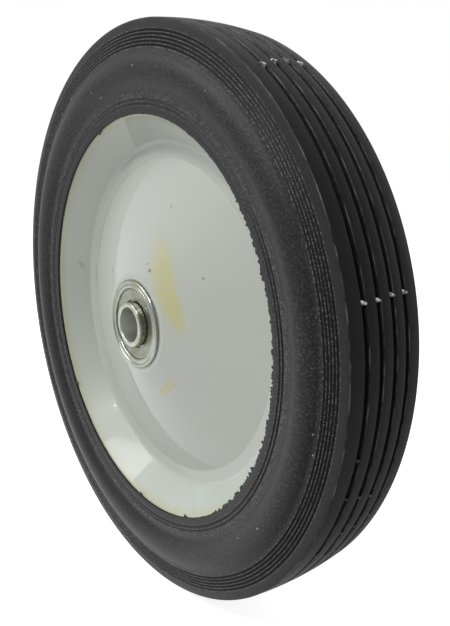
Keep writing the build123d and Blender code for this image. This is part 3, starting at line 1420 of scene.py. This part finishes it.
@dataclass
class Floor:
    """Pale floor under the tread, white to the camera but for the shadow.

    Reflections show a white sheet that fades out under the wheel's right half and is weaker
    far from the wheel.
    """

    size: float = 6000.0
    gap: float = 0.2
    shade: float = 0.5
    glow: float = 0.85
    near: Span = (600.0, 250.0)
    sheet: Span = (130.0, 20.0)
    far_share: float = 0.6

    def build(self) -> None:
        """Make the floor and its material."""
        bm = bmesh.new()
        bmesh.ops.create_grid(bm, x_segments=1, y_segments=1, size=self.size)
        bmesh.ops.translate(bm, vec=(0, 0, cad_low.z / MM - self.gap), verts=bm.verts[:])
        floor = finish_mesh(bm, "floor")
        bench = Bench("floor_white")
        shade = (self.shade, self.shade, self.shade, 1.0)
        plain = bench.node("ShaderNodeBsdfDiffuse", {}, {"Color": shade})
        glow = bench.node("ShaderNodeEmission", {}, {"Color": WHITE, "Strength": self.glow})
        white = bench.node("ShaderNodeAddShader", {}, {0: plain.outputs[0], 1: glow.outputs[0]})
        x, y, _ = bench.axes()
        near = (x * x + y * y).root().ramp(*self.near)
        sheet = x.ramp(*self.sheet) * (self.far_share + near * (1.0 - self.far_share))
        seen = bench.rays("Is Camera Ray") + bench.rays("Is Glossy Ray", "Is Transmission Ray") * sheet
        values = {0: seen.least(1.0), 1: plain.outputs[0], 2: white.outputs[0]}
        shader = bench.node("ShaderNodeMixShader", {}, values)
        bench.node("ShaderNodeOutputMaterial", {}, {"Surface": shader.outputs[0]})
        floor.data.materials.append(bench.made)


@dataclass
class Surroundings:
    """White surroundings: white to the camera, and to reflections where the backdrop is."""

    backdrop_toward: Point = (-0.79, 0.61)
    backdrop: Span = (0.1, 0.8)
    backdrop_height: Span = (0.4, 0.05)
    light: float = 0.36
    left: Span = (0.6, -0.6)
    left_light: float = 0.3

    def build(self) -> None:
        """Make the world."""
        bench = Bench("surroundings", world=True)
        toward = bench.node("ShaderNodeTexCoord", {}, {}).outputs["Generated"]
        parts = bench.node("ShaderNodeSeparateXYZ", {}, {0: toward})
        x, y, z = (Value(bench, part) for part in parts.outputs)
        behind = y * self.backdrop_toward[1] + x * self.backdrop_toward[0]
        backdrop = behind.ramp(*self.backdrop) * z.ramp(*self.backdrop_height)
        light = self.light + x.ramp(*self.left) * self.left_light
        seen = bench.rays("Is Camera Ray") + bench.rays("Is Glossy Ray", "Is Transmission Ray") * backdrop
        strength = bench.node("ShaderNodeMix", {}, {0: seen.least(1.0), 2: light, 3: 1.0})
        values = {"Color": WHITE, "Strength": strength.outputs[0]}
        background = bench.node("ShaderNodeBackground", {}, values)
        bench.node("ShaderNodeOutputWorld", {}, {"Surface": background.outputs[0]})
        bpy.context.scene.world = bench.made


@dataclass
class Lamp:
    """A soft rectangular lamp that looks at the wheel, in metres and watts."""

    name: str
    direction: tuple[float, float, float]
    distance: float
    width: float
    height: float
    watts: float
    mirrored: bool = True

    def build(self) -> None:
        """Place the lamp, which reflections show only where it is to be mirrored."""
        light = bpy.data.lights.new(self.name, "AREA")
        light.shape = "RECTANGLE"
        light.size = self.width
        light.size_y = self.height
        light.energy = self.watts
        lamp = bpy.data.objects.new(self.name, light)
        away = Vector(self.direction).normalized()
        lamp.location = away * self.distance
        lamp.rotation_euler = away.to_track_quat("Z", "Y").to_euler()
        lamp.visible_camera = False
        lamp.visible_glossy = self.mirrored
        bpy.context.scene.collection.objects.link(lamp)


@dataclass
class Studio:
    """Camera, floor, world and lamps."""

    lamps: tuple[Lamp, ...] = (
        Lamp("key", (0.15, -0.66, 0.735), 1.3, 0.14, 0.14, 4.6),
        Lamp("front_soft", (-0.4, -0.66, 0.64), 1.5, 0.7, 0.5, 6.6),
        Lamp("left_soft", (-0.9, -0.2, 0.35), 1.2, 0.9, 0.6, 3.6, mirrored=False),
        Lamp("top_soft", (-0.3, -0.2, 1.0), 1.4, 1.2, 1.2, 1.0, mirrored=False),
        Lamp("back_soft", (-0.15, 0.98, 0.12), 1.4, 1.0, 1.0, 5.5, mirrored=False),
    )

    def build(self) -> None:
        """Set the whole studio up."""
        Camera().build()
        Floor().build()
        Surroundings().build()
        for lamp in self.lamps:
            lamp.build()
        bpy.context.scene.view_settings.view_transform = "Standard"


def main() -> None:
    """Build the wheel and its studio."""
    logging.basicConfig(level=logging.INFO, format="%(message)s")
    tyre = Tyre()
    rubber = Rubber(tyre).make("black_rubber")
    paint = RimPaint().make("rim_paint")
    plated = CUP_STEEL.make("plated_steel")
    dull = SHIELD_STEEL.make("dull_steel")
    nose = NOSE_STEEL.make("nose_steel")
    ball_steel = BALL_STEEL.make("ball_steel")
    nylon = Nylon().make("cage_nylon")
    tyre.build(rubber, PaintedHighlightRubber().make("painted_highlight_rubber"))
    for side in Side:
        RimHalf(side).build(paint)
        Bearing(side).build(plated, dull, nose)
    inner = {"hub_tube": paint, "axle_spacer": plated}
    for side in Side:
        inner[f"{side.word}_balls"] = ball_steel
        inner[f"{side.word}_ball_cage"] = nylon
    dress_inner_nodes(inner)
    Studio().build()


if __name__ == "__main__":
    main()
